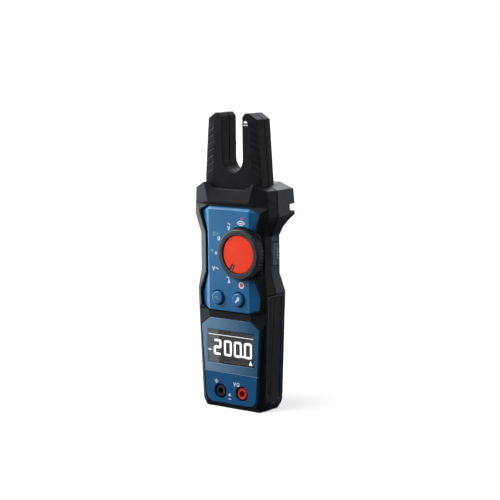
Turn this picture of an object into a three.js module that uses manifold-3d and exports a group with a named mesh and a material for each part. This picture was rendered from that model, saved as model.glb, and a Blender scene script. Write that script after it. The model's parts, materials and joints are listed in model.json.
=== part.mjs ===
// Fork meter: a hand-held electrical tester with a fixed open current fork.
// Millimetres, +Z up the long axis, front of the meter towards -Y. Geometry is drawn with
// Y = 0 on the face of the lower front panel, and the whole group is shifted onto its centre.
import * as THREE from 'three';
import { mergeVertices } from 'three/addons/utils/BufferGeometryUtils.js';
import { ConvexGeometry } from 'three/addons/geometries/ConvexGeometry.js';
import Module from 'manifold-3d';

const wasm = await Module();
wasm.setup();

// ---------------------------------------------------------------- driving dimensions
const GAP = 0.3;                // clearance between pieces that touch in the real meter
const WALL = 2.6;               // wall of the two case shells
const PANEL_CENTRE_Y = -14.5;   // where the front panel plane sits in the finished frame

const CASE_TOP = 159.6;
const CAVITY_FRONT = 5.6;       // inside face of the front wall
const CAVITY_REAR = 24.2;       // inside face of the rear wall behind the battery
const HEAD_CAVITY_REAR = 23.6;
const KEYPAD_BACK = 3.3;
const DISPLAY_BACK = 2.1;

const DIAL_X = 12.1;
const DIAL_Z = 111.5;
const DIAL_R = 17.9;
const DIAL_FRONT = -6.0;
const DIAL_BACK = 0.9;
const DIAL_RIBS = 44;
const CAP_R = 13.3;
const POINTER_ANGLE = 30;       // degrees clockwise from straight down, seen from the front
const ROTOR_R = 11.0;
const DETENT_BALL_R = 1.15;

const JACK_X = 9.525;           // half of the 19.05 mm spacing of 4 mm test jacks
const JACK_Z = 12.0;
const JACK_R = 4.15;
const JACK_BORE_R = 2.15;

const BUTTONS = { select_button: -9.6, light_button: 8.5 };
const BUTTON_Z = 79.0;
const BUTTON_R = 4.7;
const BUTTON_WELL_R = 5.5;
const BUTTON_FRONT = -2.6;

const WINDOW = { half: 20.6, low: 31.8, high: 55.7 };

const SLOT_HALF = 9.1;          // half width of the open fork slot
const SLOT_CENTRE_Z = 176.1;
const FORK_TOP = 208.0;
const FORK_FRONT = 4.6;
const FORK_REAR = 21.0;
const FORK_SPLIT = 13.3;
const FORK_ROOT_Z = 147.2;

const GROOVE_COUNT = 7;
const GROOVE_PITCH = 4.83;

const CELL_R = 7.1;
const CELL_X = 7.3;
const CELL_Y = 19.2;
const CELL_LOW = 20.2;
const CELL_HIGH = 69.2;

const DOOR = { half: 18.0, low: 12.6, high: 82.4, front: 26.9, back: 28.45 };
const DOOR_FLOOR = 26.6;
const DOOR_SCREW_Z = 78.6;
const LUGS = [-10, 10];         // hinge lugs of the battery door
const BAY = { half: 15.1, low: 18.0, high: 72.4 };   // opening that the battery cells pass through
const SEAL_FRONT = 25.8;

const HOLD = { low: 103.0, high: 119.0, front: 11.7, back: 18.9 };

const SCREWS = [[21.4, 8.6], [21.8, 88.5], [28.0, 150.5]];

// Case sections from the bottom up. At each height: half width of the front flat and its depth,
// half width of the side, the depths that it runs from and to, and the rear flat.
const CASE = [
  { z: 0.0, flat: 23.0, front: 1.8, side: 24.0, from: 2.5, to: 22.0, rearFlat: 21.5, rear: 24.8 },
  { z: 4.5, flat: 22.2, front: 0.3, side: 27.0, from: 2.6, to: 22.6, rearFlat: 23.6, rear: 28.2 },
  { z: 10.0, flat: 23.8, front: 0.3, side: 27.3, from: 2.6, to: 22.7, rearFlat: 23.9, rear: 28.6 },
  { z: 58.3, flat: 26.8, front: 0.3, side: 29.5, from: 2.6, to: 23.7, rearFlat: 26.0, rear: 28.6 },
  { z: 64.2, flat: 18.7, front: 0.3, side: 29.7, from: 2.6, to: 23.8, rearFlat: 26.2, rear: 28.6 },
  { z: 69.2, flat: 18.7, front: 0.3, side: 29.9, from: 2.6, to: 23.9, rearFlat: 26.4, rear: 28.6 },
  { z: 73.0, flat: 26.3, front: 0.3, side: 30.1, from: 2.6, to: 24.0, rearFlat: 26.6, rear: 28.6 },
  { z: 84.0, flat: 27.0, front: 0.3, side: 30.5, from: 2.6, to: 24.2, rearFlat: 26.8, rear: 28.6 },
  { z: 97.0, flat: 21.5, front: 0.3, side: 28.4, from: 3.8, to: 20.5, rearFlat: 24.0, rear: 25.4 },
  { z: 123.5, flat: 21.5, front: 0.3, side: 28.4, from: 3.8, to: 20.5, rearFlat: 24.0, rear: 25.4 },
  { z: 129.5, flat: 24.0, front: 0.3, side: 30.3, from: 3.4, to: 22.8, rearFlat: 26.6, rear: 27.6 },
  { z: 133.5, flat: 25.4, front: 0.3, side: 31.6, from: 3.2, to: 26.8, rearFlat: 28.8, rear: 31.0 },
  { z: 137.2, flat: 26.6, front: 0.3, side: 32.6, from: 3.0, to: 33.0, rearFlat: 30.6, rear: 34.8 },
  { z: 140.0, flat: 27.1, front: 0.3, side: 32.4, from: 3.0, to: 33.2, rearFlat: 30.6, rear: 35.0 },
  { z: 144.0, flat: 18.9, front: 0.3, side: 32.2, from: 3.0, to: 33.4, rearFlat: 30.6, rear: 35.0 },
  { z: 146.2, flat: 18.2, front: -1.0, side: 32.0, from: 3.0, to: 33.4, rearFlat: 30.6, rear: 35.0 },
  { z: 155.1, flat: 20.7, front: -0.3, side: 31.5, from: 3.0, to: 33.0, rearFlat: 29.6, rear: 34.2 },
  { z: CASE_TOP, flat: 21.8, front: 0.0, side: 22.3, from: 0.4, to: 30.2, rearFlat: 21.6, rear: 30.6 },
];
const CASE_DRAFT = 0.35;        // how much wider the case is at its parting line
const CASE_PARTING = [[0, 9.6], [86, 12.7], [98, 10.4], [122, 10.4], [134, 13.7], [162, 13.7]];

const FORK = [
  { z: FORK_ROOT_Z, flat: 17.6, front: FORK_FRONT, side: 25.6, from: 6.0, to: 19.2, rearFlat: 20.6 },
  { z: 163.0, flat: 16.9, front: FORK_FRONT, side: 24.7, from: 5.8, to: 19.4, rearFlat: 20.2 },
  { z: 203.7, flat: 15.4, front: FORK_FRONT, side: 21.5, from: 5.7, to: 20.0, rearFlat: 18.6 },
  { z: FORK_TOP, flat: 14.1, front: FORK_FRONT, side: 14.3, from: 4.7, to: 20.3, rearFlat: 13.8 },
];
const FORK_DRAFT = 0.25;

// Outline of the keypad panel: half width at each height, and the depth of its edge. Its middle
// is flat and its sides slope back from one straight fold line to this outline.
const KEYPAD = [
  { z: 69.2, half: 18.2, edge: 1.2 }, { z: 73.0, half: 25.1, edge: 2.4 },
  { z: 81.0, half: 26.0, edge: 2.5 },
  { z: 95.0, half: 20.7, edge: 1.6 }, { z: 125.0, half: 20.7, edge: 1.6 },
  { z: 139.6, half: 25.8, edge: 2.8 }, { z: 143.5, half: 18.5, edge: 1.6 },
];
const KEYPAD_FOLD = 17.8;
const KEYPAD_FRONT = -0.6;

const DISPLAY_TOP = [[58.3, 26.1], [64.0, 18.2]];
const DISPLAY_CORNER_R = 6.0;
const DISPLAY_BOTTOM = { z: 3.7, half: 22.8 };

// ---------------------------------------------------------------- colours
const CHARCOAL = new THREE.Color(0x2c2f33);
const REAR_GREY = new THREE.Color(0x3a3d42);
const BLUE = new THREE.Color(0x1f5f96);
const DARK_BLUE = new THREE.Color(0x14304f);
const ORANGE_RED = new THREE.Color(0xee4a2a);
const RED = new THREE.Color(0xc7332c);
const BLACK = new THREE.Color(0x141517);
const LENS = new THREE.Color(0x50565c);
const WHITE = new THREE.Color(0xe8e8e6);
const STEEL = new THREE.Color(0xb6b9bd);
const BRASS = new THREE.Color(0xc9a24a);
const BOARD_GREEN = new THREE.Color(0x1c5a3a);
const FERRITE = new THREE.Color(0x4a4a4c);
const COPPER = new THREE.Color(0xb8683a);

// ---------------------------------------------------------------- solids
function solidOf(geometry) {
  const bare = geometry.clone();
  bare.deleteAttribute('normal');
  bare.deleteAttribute('uv');
  const welded = mergeVertices(bare, 1e-4);
  const points = welded.attributes.position.array;
  const corners = [];
  for (let i = 0; i < welded.index.count; i += 3) {
    const triangle = [0, 1, 2].map((k) => welded.index.getX(i + k));
    if (new Set(triangle).size === 3) corners.push(triangle);
  }
  if (signedVolume(points, corners) < 0) corners.forEach((triangle) => triangle.reverse());
  return new wasm.Manifold(new wasm.Mesh({
    numProp: 3,
    vertProperties: new Float32Array(points),
    triVerts: new Uint32Array(corners.flat()),
  }));
}

function signedVolume(points, corners) {
  const [a, b, c] = [new THREE.Vector3(), new THREE.Vector3(), new THREE.Vector3()];
  let total = 0;
  for (const [i, j, k] of corners) {
    a.fromArray(points, 3 * i);
    b.fromArray(points, 3 * j);
    c.fromArray(points, 3 * k);
    total += a.dot(b.cross(c)) / 6;
  }
  return total;
}

function union(solids) {
  return solids.reduce((sum, solid) => sum.add(solid));
}

function cut(solid, cutters) {
  return cutters.reduce((rest, cutter) => rest.subtract(cutter), solid);
}

function hull(points) {
  return solidOf(new ConvexGeometry(points.map(([x, y, z]) => new THREE.Vector3(x, y, z))));
}

function box([x0, x1], [y0, y1], [z0, z1]) {
  const geometry = new THREE.BoxGeometry(x1 - x0, y1 - y0, z1 - z0);
  return solidOf(geometry.translate((x0 + x1) / 2, (y0 + y1) / 2, (z0 + z1) / 2));
}

function extruded(outline, depth, basis) {
  const shape = new THREE.Shape(outline.map(([u, v]) => new THREE.Vector2(u, v)));
  const geometry = new THREE.ExtrudeGeometry(shape, { depth, bevelEnabled: false });
  return solidOf(geometry.applyMatrix4(new THREE.Matrix4().makeBasis(...basis)));
}

const X = new THREE.Vector3(1, 0, 0);
const Y = new THREE.Vector3(0, 1, 0);
const Z = new THREE.Vector3(0, 0, 1);

// A prism along Y from an outline of [x, z] points, and one along X from [y, z] points.
function prismY(outline, y0, y1) {
  return extruded(outline, y1 - y0, [X, Z, Y]).translate([0, y0, 0]);
}

function prismX(outline, x0, x1) {
  return extruded(outline, x1 - x0, [Y, Z, X]).translate([x0, 0, 0]);
}

function rodY(radius, y0, y1, [x, z] = [0, 0], sides = 32) {
  const geometry = new THREE.CylinderGeometry(radius, radius, y1 - y0, sides);
  return solidOf(geometry.translate(x, (y0 + y1) / 2, z));
}

function rodZ(radius, z0, z1, [x, y] = [0, 0], sides = 32) {
  const geometry = new THREE.CylinderGeometry(radius, radius, z1 - z0, sides).rotateX(Math.PI / 2);
  return solidOf(geometry.translate(x, y, (z0 + z1) / 2));
}

// A turned piece about an axis along Y, from a profile of [radius, y] points.
function turnedY(profile, [x, z] = [0, 0], sides = 48) {
  const points = profile.map(([r, y]) => new THREE.Vector2(r, y));
  return solidOf(new THREE.LatheGeometry(points, sides).translate(x, 0, z));
}

function ringY(outer, inner, y0, y1, centre, sides = 48) {
  return turnedY([[inner, y0], [outer, y0], [outer, y1], [inner, y1], [inner, y0]], centre, sides);
}

// A screw along Y with a cross recess in its head, which faces +Y.
function screwY(headRadius, headHeight, shankRadius, y0, y1) {
  const head = [[headRadius, y1 - headHeight], [headRadius, y1], [0, y1]];
  const shank = [[0, y0], [shankRadius, y0], [shankRadius, y1 - headHeight]];
  const blade = headRadius * 0.62;
  return cut(turnedY([...shank, ...head], [0, 0], 14), [
    box([-blade, blade], [y1 - 0.9, y1 + 1], [-0.35, 0.35]),
    box([-0.35, 0.35], [y1 - 0.9, y1 + 1], [-blade, blade]),
  ]);
}

function mirrored(halfPoints) {
  const left = halfPoints.map(([x, y]) => [-x, y]).reverse();
  return [...halfPoints, ...left];
}

// Moves every edge of an anticlockwise outline outwards by a distance.
function grown(outline, distance) {
  const count = outline.length;
  const edges = outline.map(([x0, y0], i) => {
    const [x1, y1] = outline[(i + 1) % count];
    const length = Math.hypot(x1 - x0, y1 - y0);
    const [nx, ny] = [(y1 - y0) / length, (x0 - x1) / length];
    return { nx, ny, c: nx * x0 + ny * y0 + distance };
  });
  return edges.map((edge, i) => {
    const last = edges[(i + count - 1) % count];
    const cross = last.nx * edge.ny - last.ny * edge.nx;
    return [(last.c * edge.ny - edge.c * last.ny) / cross, (last.nx * edge.c - edge.nx * last.c) / cross];
  });
}

// Stacks convex sections, each { z, outline }, into one solid.
function loft(sections) {
  const slices = [];
  for (let i = 0; i + 1 < sections.length; i += 1) {
    const pair = [sections[i], sections[i + 1]];
    slices.push(hull(pair.flatMap(({ z, outline }) => outline.map(([x, y]) => [x, y, z]))));
  }
  return union(slices);
}

function bodySections(stations, draft, splitAt, growth = 0) {
  return stations.map((s) => {
    const rear = s.rear ?? FORK_REAR;
    const half = [
      [s.flat, s.front], [s.side, s.from], [s.side + draft, splitAt(s.z)],
      [s.side, s.to], [s.rearFlat, rear],
    ];
    return { z: s.z, outline: grown(mirrored(half), growth) };
  });
}

function along(table, at) {
  const next = Math.max(1, table.findIndex(([key]) => key >= at));
  const [[k0, v0], [k1, v1]] = [table[next - 1], table[next]];
  return v0 + (v1 - v0) * (at - k0) / (k1 - k0);
}

const sideAt = (z) => along(CASE.map((s) => [s.z, s.side]), z);

function slab(outline, y0, y1, edge) {
  const sections = outline.map(([z, half]) => ({
    z, outline: mirrored([[half - edge, y0], [half, y0 + edge], [half, y1]]),
  }));
  return loft(sections);
}

// ---------------------------------------------------------------- model tree
const meter = new THREE.Group();
meter.position.y = PANEL_CENTRE_Y;

function piece(name, solid, colour, roughness = 0.55, metalness = 0) {
  const { vertProperties, triVerts } = solid.getMesh();
  const geometry = new THREE.BufferGeometry();
  geometry.setAttribute('position', new THREE.BufferAttribute(new Float32Array(vertProperties), 3));
  geometry.setIndex(new THREE.BufferAttribute(new Uint32Array(triVerts), 1));
  geometry.computeVertexNormals();
  const material = new THREE.MeshStandardMaterial({ color: colour, roughness, metalness });
  const mesh = new THREE.Mesh(geometry, material);
  mesh.name = name;
  meter.add(mesh);
  return mesh;
}

// ---------------------------------------------------------------- case shells
function slotOutline(radius, chamfer) {
  const points = [];
  for (let step = 0; step <= 16; step += 1) {
    const angle = Math.PI + Math.PI * step / 16;
    points.push([radius * Math.cos(angle), SLOT_CENTRE_Z + radius * Math.sin(angle)]);
  }
  const [mouth, top] = [FORK_TOP - 2.6, FORK_TOP + 1];
  return [...points, [radius, mouth], [radius + chamfer, top], [-radius - chamfer, top], [-radius, mouth]];
}

function partingPrism(side) {
  const line = CASE_PARTING.map(([z, y]) => [y + side * GAP / 2, z]);
  const far = side * 60;
  return prismX([[far, -1], ...line.map(([y, z]) => [y, z === 0 ? -1 : z]), [far, 162]], -40, 40);
}

const casePartingAt = (z) => along(CASE_PARTING, z);
const caseSections = (growth = 0) => bodySections(CASE, CASE_DRAFT, casePartingAt, growth);
const forkSections = (growth = 0) => bodySections(FORK, FORK_DRAFT, () => FORK_SPLIT, growth);

function displayOutline(growth = 0) {
  const points = [];
  const { z, half } = DISPLAY_BOTTOM;
  for (let step = 0; step <= 4; step += 1) {
    const angle = Math.PI / 2 * step / 4;
    const inset = DISPLAY_CORNER_R * (1 - Math.sin(angle));
    points.push([z - growth + DISPLAY_CORNER_R * (1 - Math.cos(angle)), half + growth - inset]);
  }
  const [[shoulderZ, shoulderHalf], [topZ, topHalf]] = DISPLAY_TOP;
  return [...points, [shoulderZ + growth / 2, shoulderHalf + growth], [topZ + growth, topHalf + growth]];
}

function panelRecesses() {
  const ends = { [KEYPAD[0].z]: -GAP, [KEYPAD.at(-1).z]: GAP };
  const keypad = KEYPAD.map(({ z, half }) => [z + (ends[z] ?? 0), half + GAP]);
  return [slab(keypad, -8, KEYPAD_BACK + GAP, 0), slab(displayOutline(GAP), -8, DISPLAY_BACK + GAP, 0)];
}

function headPocket() {
  const mirroredPoints = (points) => points.flatMap(([x, y, z]) => [[x, y, z], [-x, y, z]]);
  const plate = [[17.5, -1.05, 146.2], [13.1, 1.0, 155.4], [21.8, 0, CASE_TOP + 0.1],
    [17.5, -6, 146.2], [21.8, -6, CASE_TOP + 0.1]];
  const ledge = [[13.1, -6, 155.4], [13.1, FORK_FRONT, 155.4], [22.0, -6, CASE_TOP + 0.3],
    [22.0, 0, CASE_TOP + 0.3], [17.5, FORK_FRONT, CASE_TOP + 0.3]];
  return [hull(mirroredPoints(plate)), hull(mirroredPoints(ledge))];
}

// The side pockets that hold the grip inlays, following the taper of the lower case.
function sidePocket(side, depth, margin, outside = 6) {
  const points = [];
  for (const z of [7.0 + margin, 82.6 - margin]) {
    for (const y of [4.6 + margin, 22.4 - margin]) {
      points.push([side * (sideAt(z) - depth), y, z]);
      points.push([side * (sideAt(z) + outside), y, z]);
    }
  }
  return hull(points);
}

function dialPocket() {
  const relief = [[20.6, 97.4], [27.4, 97.4], [27.4, 122.6], [20.6, 122.6]];
  return [rodY(DIAL_R + 0.8, -8, 3.5, [DIAL_X, DIAL_Z], 48), prismY(relief, -8, 3.5)];
}

const caseOuter = loft(caseSections());
const keepIn = union([
  box([-40, 40], [CAVITY_FRONT, CAVITY_REAR], [WALL, 121]),
  box([-40, 40], [CAVITY_FRONT, HEAD_CAVITY_REAR], [120, 156.4]),
]);
const caseCavity = loft(caseSections(-WALL)).intersect(keepIn);
const forkOpening = loft(forkSections(GAP)).intersect(box([-40, 40], [0, 40], [FORK_ROOT_Z - 2, 170]));
const sidePockets = [-1, 1].map((side) => sidePocket(side, 1.3, 0));

const screwPlaces = SCREWS.flatMap(([x, z]) => [[-x, z], [x, z]]);
const innerWall = loft(caseSections(-WALL / 2));

// A screw post inside the case, running from y0 to y1 at [x, z].
const post = (place, y0, y1) => rodY(2.9, y0, y1, place, 12).intersect(innerWall);

function frontHousing() {
  const shell = caseOuter.intersect(partingPrism(-1)).subtract(caseCavity);
  const bosses = screwPlaces.map(([x, z]) => post([x, z], 4.5, casePartingAt(z) - 0.6));
  const window = box([-21.4, 21.4], [0, 8], [31.0, 56.5]);
  return cut(union([shell, ...bosses]), [
    forkOpening, ...panelRecesses(), ...headPocket(), ...sidePockets, ...dialPocket(), window,
    ...[-1, 1].map((side) => rodY(JACK_R + GAP, 0, 8, [side * JACK_X, JACK_Z], 20)),
    ...Object.values(BUTTONS).map((x) => rodY(3.3, 0, 8, [x, BUTTON_Z], 16)),
    rodY(3.4, 0, 8, [DIAL_X, DIAL_Z], 20),
    ...screwPlaces.map(([x, z]) => rodY(1.45, 6.8, 16, [x, z], 12)),
  ]);
}

// ---------------------------------------------------------------- rear shell
function bayBox(margin, y0, y1) {
  return box([-BAY.half - margin, BAY.half + margin], [y0, y1], [BAY.low - margin, BAY.high + margin]);
}

function rearHousing() {
  const shell = caseOuter.intersect(partingPrism(1)).subtract(caseCavity);
  const posts = screwPlaces.map(([x, z]) => post([x, z], casePartingAt(z) + 0.6, 34));
  const { half, low, high } = DOOR;
  const doorOutline = [[-half, low], [half, low], [half, high], [-half, high]];
  const lugSlots = LUGS.map((x) => box([x - 2.4, x + 2.4], [20, DOOR_FLOOR + 0.1], [low - 2.9, low + 2.3]));
  const sealGroove = cut(bayBox(2.2, SEAL_FRONT - GAP / 2, DOOR_FLOOR + 0.1), [bayBox(0.7, 20, 40)]);
  return cut(union([shell, ...posts]), [
    forkOpening, ...sidePockets,
    prismY(grown(doorOutline, GAP), DOOR_FLOOR, 40),
    bayBox(0, 20, 40),
    sealGroove,
    ...lugSlots,
    rodY(3.2, 20, 40, [0, DOOR_SCREW_Z], 24),
    box([-40, 40], [27.8, 40], [139.8, 144.6]),
    box([24, 40], [HOLD.front - GAP, HOLD.back + GAP], [HOLD.low - GAP, HOLD.high + GAP]),
    prismY([[-17.4, 99.6], [17.4, 99.6], [17.4, 119.4], [-17.4, 119.4]], 25.0, 40),
    ...screwPlaces.map(([x, z]) => rodY(1.7, 5, 40, [x, z], 12)),
    ...screwPlaces.map(([x, z]) => rodY(2.75, z > 120 ? 31.5 : 25.4, 40, [x, z], 16)),
  ]);
}

piece('front_housing', frontHousing(), CHARCOAL, 0.5);
piece('rear_housing', rearHousing(), REAR_GREY, 0.5);
screwPlaces.forEach(([x, z], i) => {
  const seat = z > 120 ? 31.6 : 25.5;
  const screw = screwY(2.3, 1.6, 1.2, 8.4, seat + 1.6);
  piece(`case_screw_${i + 1}`, screw.translate([x, 0, z]), STEEL, 0.35, 1);
});

// ---------------------------------------------------------------- side grips
['left', 'right'].forEach((name, i) => {
  const side = i === 0 ? -1 : 1;
  const frame = cut(sidePocket(side, 1.0, GAP, -0.1), [sidePocket(side, 5, 1.3, 5)]);
  piece(`side_trim_${name}`, frame, DARK_BLUE, 0.5);
  const inlay = sidePocket(side, 1.0, 1.6, -0.6);
  const ledge = [[8.0, 0.15], [8.0, 1.0], [13.0, 1.0], [12.2, 0.6]].flatMap(([z, depth]) => [
    [side * (sideAt(z) - depth), 6.4, z], [side * (sideAt(z) - depth), 20.6, z],
  ]);
  const seam = hull([9.5, 80.5].flatMap((z) => [-0.25, 0.25].flatMap((offset) => [
    [side * (sideAt(z) - 0.85), casePartingAt(z) + offset, z],
    [side * (sideAt(z) + 1), casePartingAt(z) + offset, z],
  ])));
  const grip = union([inlay, hull(ledge).intersect(sidePocket(side, 1.0, 1.6))]);
  piece(`side_grip_${name}`, grip.subtract(seam), BLACK, 0.75);
});

// ---------------------------------------------------------------- front panels
function keypadPanel() {
  const flatLow = { z: 70.2, half: 20.0, edge: 1.5 };
  const flatHigh = { z: 141.2, half: 22.8, edge: 2.3 };
  const stations = [...KEYPAD, flatLow, flatHigh].sort((a, b) => a.z - b.z);
  const sections = stations.map((s, i) => {
    const atEnd = i === 0 || i === stations.length - 1;
    const front = atEnd ? s.edge : KEYPAD_FRONT;
    const half = [[KEYPAD_FOLD, front], [s.half, s.edge + 0.1], [s.half, KEYPAD_BACK]];
    return { z: s.z, outline: mirrored(half) };
  });
  return cut(loft(sections), [
    rodY(DIAL_R + 0.8, -8, 8, [DIAL_X, DIAL_Z], 48),
    box([20, 40], [-8, 8], [96, 124]),
    ...Object.values(BUTTONS).map((x) => rodY(BUTTON_WELL_R, -8, 8, [x, BUTTON_Z], 32)),
  ]);
}

function displayPanel() {
  const { half, low, high } = WINDOW;
  return cut(slab(displayOutline(), 0, DISPLAY_BACK, 0.7), [
    box([-half, half], [-4, 8], [low, high]),
    ...[-1, 1].map((side) => rodY(5.4, -4, 8, [side * JACK_X, JACK_Z], 28)),
    box([-24.2, 24.2], [-1, 0.25], [25.4, 25.8]),
  ]);
}

piece('keypad_panel', keypadPanel(), BLUE, 0.42);
piece('display_panel', displayPanel(), BLUE, 0.35);

const lensHalf = WINDOW.half - GAP;
const lensSpan = [WINDOW.low + GAP, WINDOW.high - GAP];
piece('display_lens', box([-lensHalf, lensHalf], [0.1, 1.5], lensSpan), LENS, 0.12);
piece('lcd_glass', box([-19.4, 19.4], [1.9, 4.0], [33.0, 54.6]), LENS, 0.2);
piece('lcd_frame', cut(box([-21.1, 21.1], [2.5, 7.4], [31.3, 56.2]), [
  box([-19.7, 19.7], [0, 9], [32.7, 54.9]),
]), BLACK, 0.6);
piece('backlight_plate', box([-19.4, 19.4], [4.4, 6.6], [33.0, 54.6]), WHITE, 0.4);
[['lower', 33.4], ['upper', 52.0]].forEach(([name, z]) => {
  piece(`contact_strip_${name}`, box([-17.5, 17.5], [6.9, 8.7], [z, z + 2.2]), FERRITE, 0.7);
});

// ---------------------------------------------------------------- dial and rotary switch
function knurledOutline(radius, depth, ribs) {
  const points = [];
  for (let i = 0; i < ribs; i += 1) {
    const angle = Math.PI * 2 / ribs;
    const low = radius - depth;
    for (const [share, r] of [[0.08, radius], [0.46, radius], [0.6, low], [0.94, low]]) {
      points.push([r * Math.cos(angle * (i + share)), r * Math.sin(angle * (i + share))]);
    }
  }
  return points;
}

const pointer = THREE.MathUtils.degToRad(POINTER_ANGLE);
const dial = new THREE.Group();
dial.position.set(DIAL_X, 0, DIAL_Z);
meter.add(dial);

function dialPiece(name, solid, ...finish) {
  dial.add(piece(name, solid, ...finish));
}

function pointerBox(width, y0, y1, r0, r1) {
  return box([-width / 2, width / 2], [y0, y1], [-r1, -r0]).rotate([0, POINTER_ANGLE, 0]);
}

function dialKnob() {
  const rim = prismY(knurledOutline(DIAL_R, 0.55, DIAL_RIBS), DIAL_FRONT + 0.9, DIAL_BACK);
  const edge = DIAL_R - 0.6;
  const face = turnedY([[0, -4], [edge, -4], [edge, -5.1], [edge - 0.6, DIAL_FRONT], [0, DIAL_FRONT]]);
  return cut(union([rim, face]), [
    turnedY([[0, -7], [CAP_R + 1.0, -7], [CAP_R + GAP, -4.9], [CAP_R + GAP, -4.3], [0, -4.3]]),
    ringY(DIAL_R - 2.2, 6.2, -2.6, DIAL_BACK + 1, [0, 0], 32),
    rodY(3.1, -3.8, 6, [0, 0], 24),
  ]);
}

dialPiece('dial_knob', dialKnob(), CHARCOAL, 0.5);
dialPiece('dial_cap', cut(
  turnedY([[0, -4.5], [CAP_R, -4.5], [CAP_R, -4.9], [CAP_R - 0.4, -5.15], [0, -5.15]], [0, 0], 48),
  [pointerBox(2.8, -7, -4, 8.4, 16)],
), ORANGE_RED, 0.35);
dialPiece('dial_pointer', pointerBox(1.0, -5.0, -4.6, 9.2, 13.5), WHITE, 0.5);
dialPiece('dial_shaft', turnedY([[0, -3.5], [2.8, -3.5], [2.8, 8.6], [0, 8.6]], [0, 0], 24), BLACK, 0.4);

function rotorDisc() {
  const notched = [];
  for (let i = 0; i < 12; i += 1) {
    const [valley, flank] = [ROTOR_R - 0.9, ROTOR_R - 0.4];
    for (const [share, r] of [[0.14, flank], [0.36, ROTOR_R], [0.64, ROTOR_R], [0.86, flank], [1.0, valley]]) {
      const angle = Math.PI / 6 * (i + share);
      notched.push([r * Math.cos(angle), r * Math.sin(angle)]);
    }
  }
  return cut(prismY(notched, 5.9, 7.9), [rodY(3.1, 4, 9, [0, 0], 24)]);
}

dialPiece('switch_rotor', rotorDisc(), WHITE, 0.5);
dialPiece('switch_wiper', ringY(9.4, 6.2, 8.1, 8.5, [0, 0], 24), BRASS, 0.3, 1);

const trayOutline = [[20.9, 97.8], [27.0, 97.8], [27.0, 122.2], [20.9, 122.2]];
const trayDisc = rodY(DIAL_R + 0.5, 1.9, 3.2, [DIAL_X, DIAL_Z], 48)
  .intersect(box([-20, 27.0], [0, 8], [80, 140]));
piece('dial_tray', cut(union([trayDisc, prismY(trayOutline, 1.9, 3.2)]), [
  rodY(3.4, 0, 8, [DIAL_X, DIAL_Z], 20),
]), DARK_BLUE, 0.5);

// The detent ball is drawn lifted onto the crests of the rotor, so that the rotor turns clear of it.
const ballX = DIAL_X - ROTOR_R - DETENT_BALL_R - GAP / 2;
const ball = new THREE.SphereGeometry(DETENT_BALL_R, 10, 6).translate(ballX, 6.9, DIAL_Z);
piece('detent_ball', solidOf(ball), STEEL, 0.2, 1);

// ---------------------------------------------------------------- springs
function coilSpring(radius, wire, low, high, turns) {
  class Helix extends THREE.Curve {
    getPoint(t) {
      const angle = t * turns * Math.PI * 2;
      return new THREE.Vector3(radius * Math.cos(angle), radius * Math.sin(angle), low + (high - low) * t);
    }
  }
  const section = new THREE.Shape();
  section.absarc(0, 0, wire, 0, Math.PI * 2);
  return solidOf(new THREE.ExtrudeGeometry(section, {
    steps: turns * 9, curveSegments: 2, extrudePath: new Helix(), bevelEnabled: false,
  }));
}

piece('detent_spring', coilSpring(0.9, 0.2, 0, 5.0, 4)
  .rotate([0, -90, 0]).translate([ballX - 1.5, 6.9, DIAL_Z]), STEEL, 0.3, 1);

// ---------------------------------------------------------------- push buttons
for (const [name, x] of Object.entries(BUTTONS)) {
  const profile = [[0, BUTTON_FRONT], [BUTTON_R - 1.0, BUTTON_FRONT], [BUTTON_R - 0.3, BUTTON_FRONT + 0.35],
    [BUTTON_R, BUTTON_FRONT + 1.0], [BUTTON_R, 1.2], [2.9, 1.2], [2.9, 6.7], [0, 6.7]];
  piece(name, turnedY(profile, [x, BUTTON_Z], 28), BLUE, 0.4);
}
piece('keypad_membrane', union([
  box([-15, 15], [8.0, 8.7], [74.0, 84.0]),
  ...Object.values(BUTTONS).map((x) => turnedY(
    [[0, 7.75], [2.2, 7.75], [3.0, 8.2], [0, 8.2]], [x, BUTTON_Z], 20,
  )),
]), WHITE, 0.7);

const holdFace = sideAt(110) + 0.55;
piece('hold_button', union([
  box([26.4, holdFace], [HOLD.front, HOLD.back], [HOLD.low, HOLD.high]),
  box([25.0, 26.6], [13.6, 16.4], [109.6, 112.4]),
]), DARK_BLUE, 0.45);
piece('hold_switch', box([19.6, 24.0], [10.9, 16.6], [107.0, 115.0]), BLACK, 0.5);

// ---------------------------------------------------------------- test jacks
[['com_jack', -1, BLACK], ['volt_jack', 1, RED]].forEach(([name, side, colour]) => {
  const sleeve = [[JACK_BORE_R, 0.5], [JACK_R - 0.4, 0.5], [JACK_R, 0.9], [JACK_R, 17.0], [0, 17.0],
    [0, 15.5], [3.3, 15.5], [3.3, 4.0], [JACK_BORE_R, 4.0], [JACK_BORE_R, 0.5]];
  piece(`${name}_sleeve`, turnedY(sleeve, [side * JACK_X, JACK_Z], 24), colour, 0.4);
  piece(`${name}_contact`, ringY(3.0, JACK_BORE_R, 4.4, 15.1, [side * JACK_X, JACK_Z], 20), BRASS, 0.3, 1);
});

// ---------------------------------------------------------------- circuit board
function mainBoard() {
  return cut(union([
    box([-17.4, 17.4], [9.0, 10.6], [5.0, 145.4]),
    box([-24.2, 24.2], [9.0, 10.6], [94.0, 130.0]),
  ]), [
    ...[-1, 1].map((side) => rodY(JACK_R + 0.5, 8, 12, [side * JACK_X, JACK_Z], 20)),
    rodY(3.4, 8, 12, [DIAL_X, DIAL_Z], 24),
  ]);
}

piece('main_board', mainBoard(), BOARD_GREEN, 0.5);
piece('measuring_chip', box([-6, 6], [10.9, 12.3], [128, 140]), BLACK, 0.5);
piece('buzzer', turnedY(
  [[0, 10.9], [6, 10.9], [6, 15.2], [1.2, 15.2], [1.2, 14.2], [0, 14.2]], [-12, 106], 20,
), BLACK, 0.5);
piece('input_varistor', rodY(4.2, 10.9, 14.6, [9, 88], 24), ORANGE_RED, 0.5);

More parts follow.
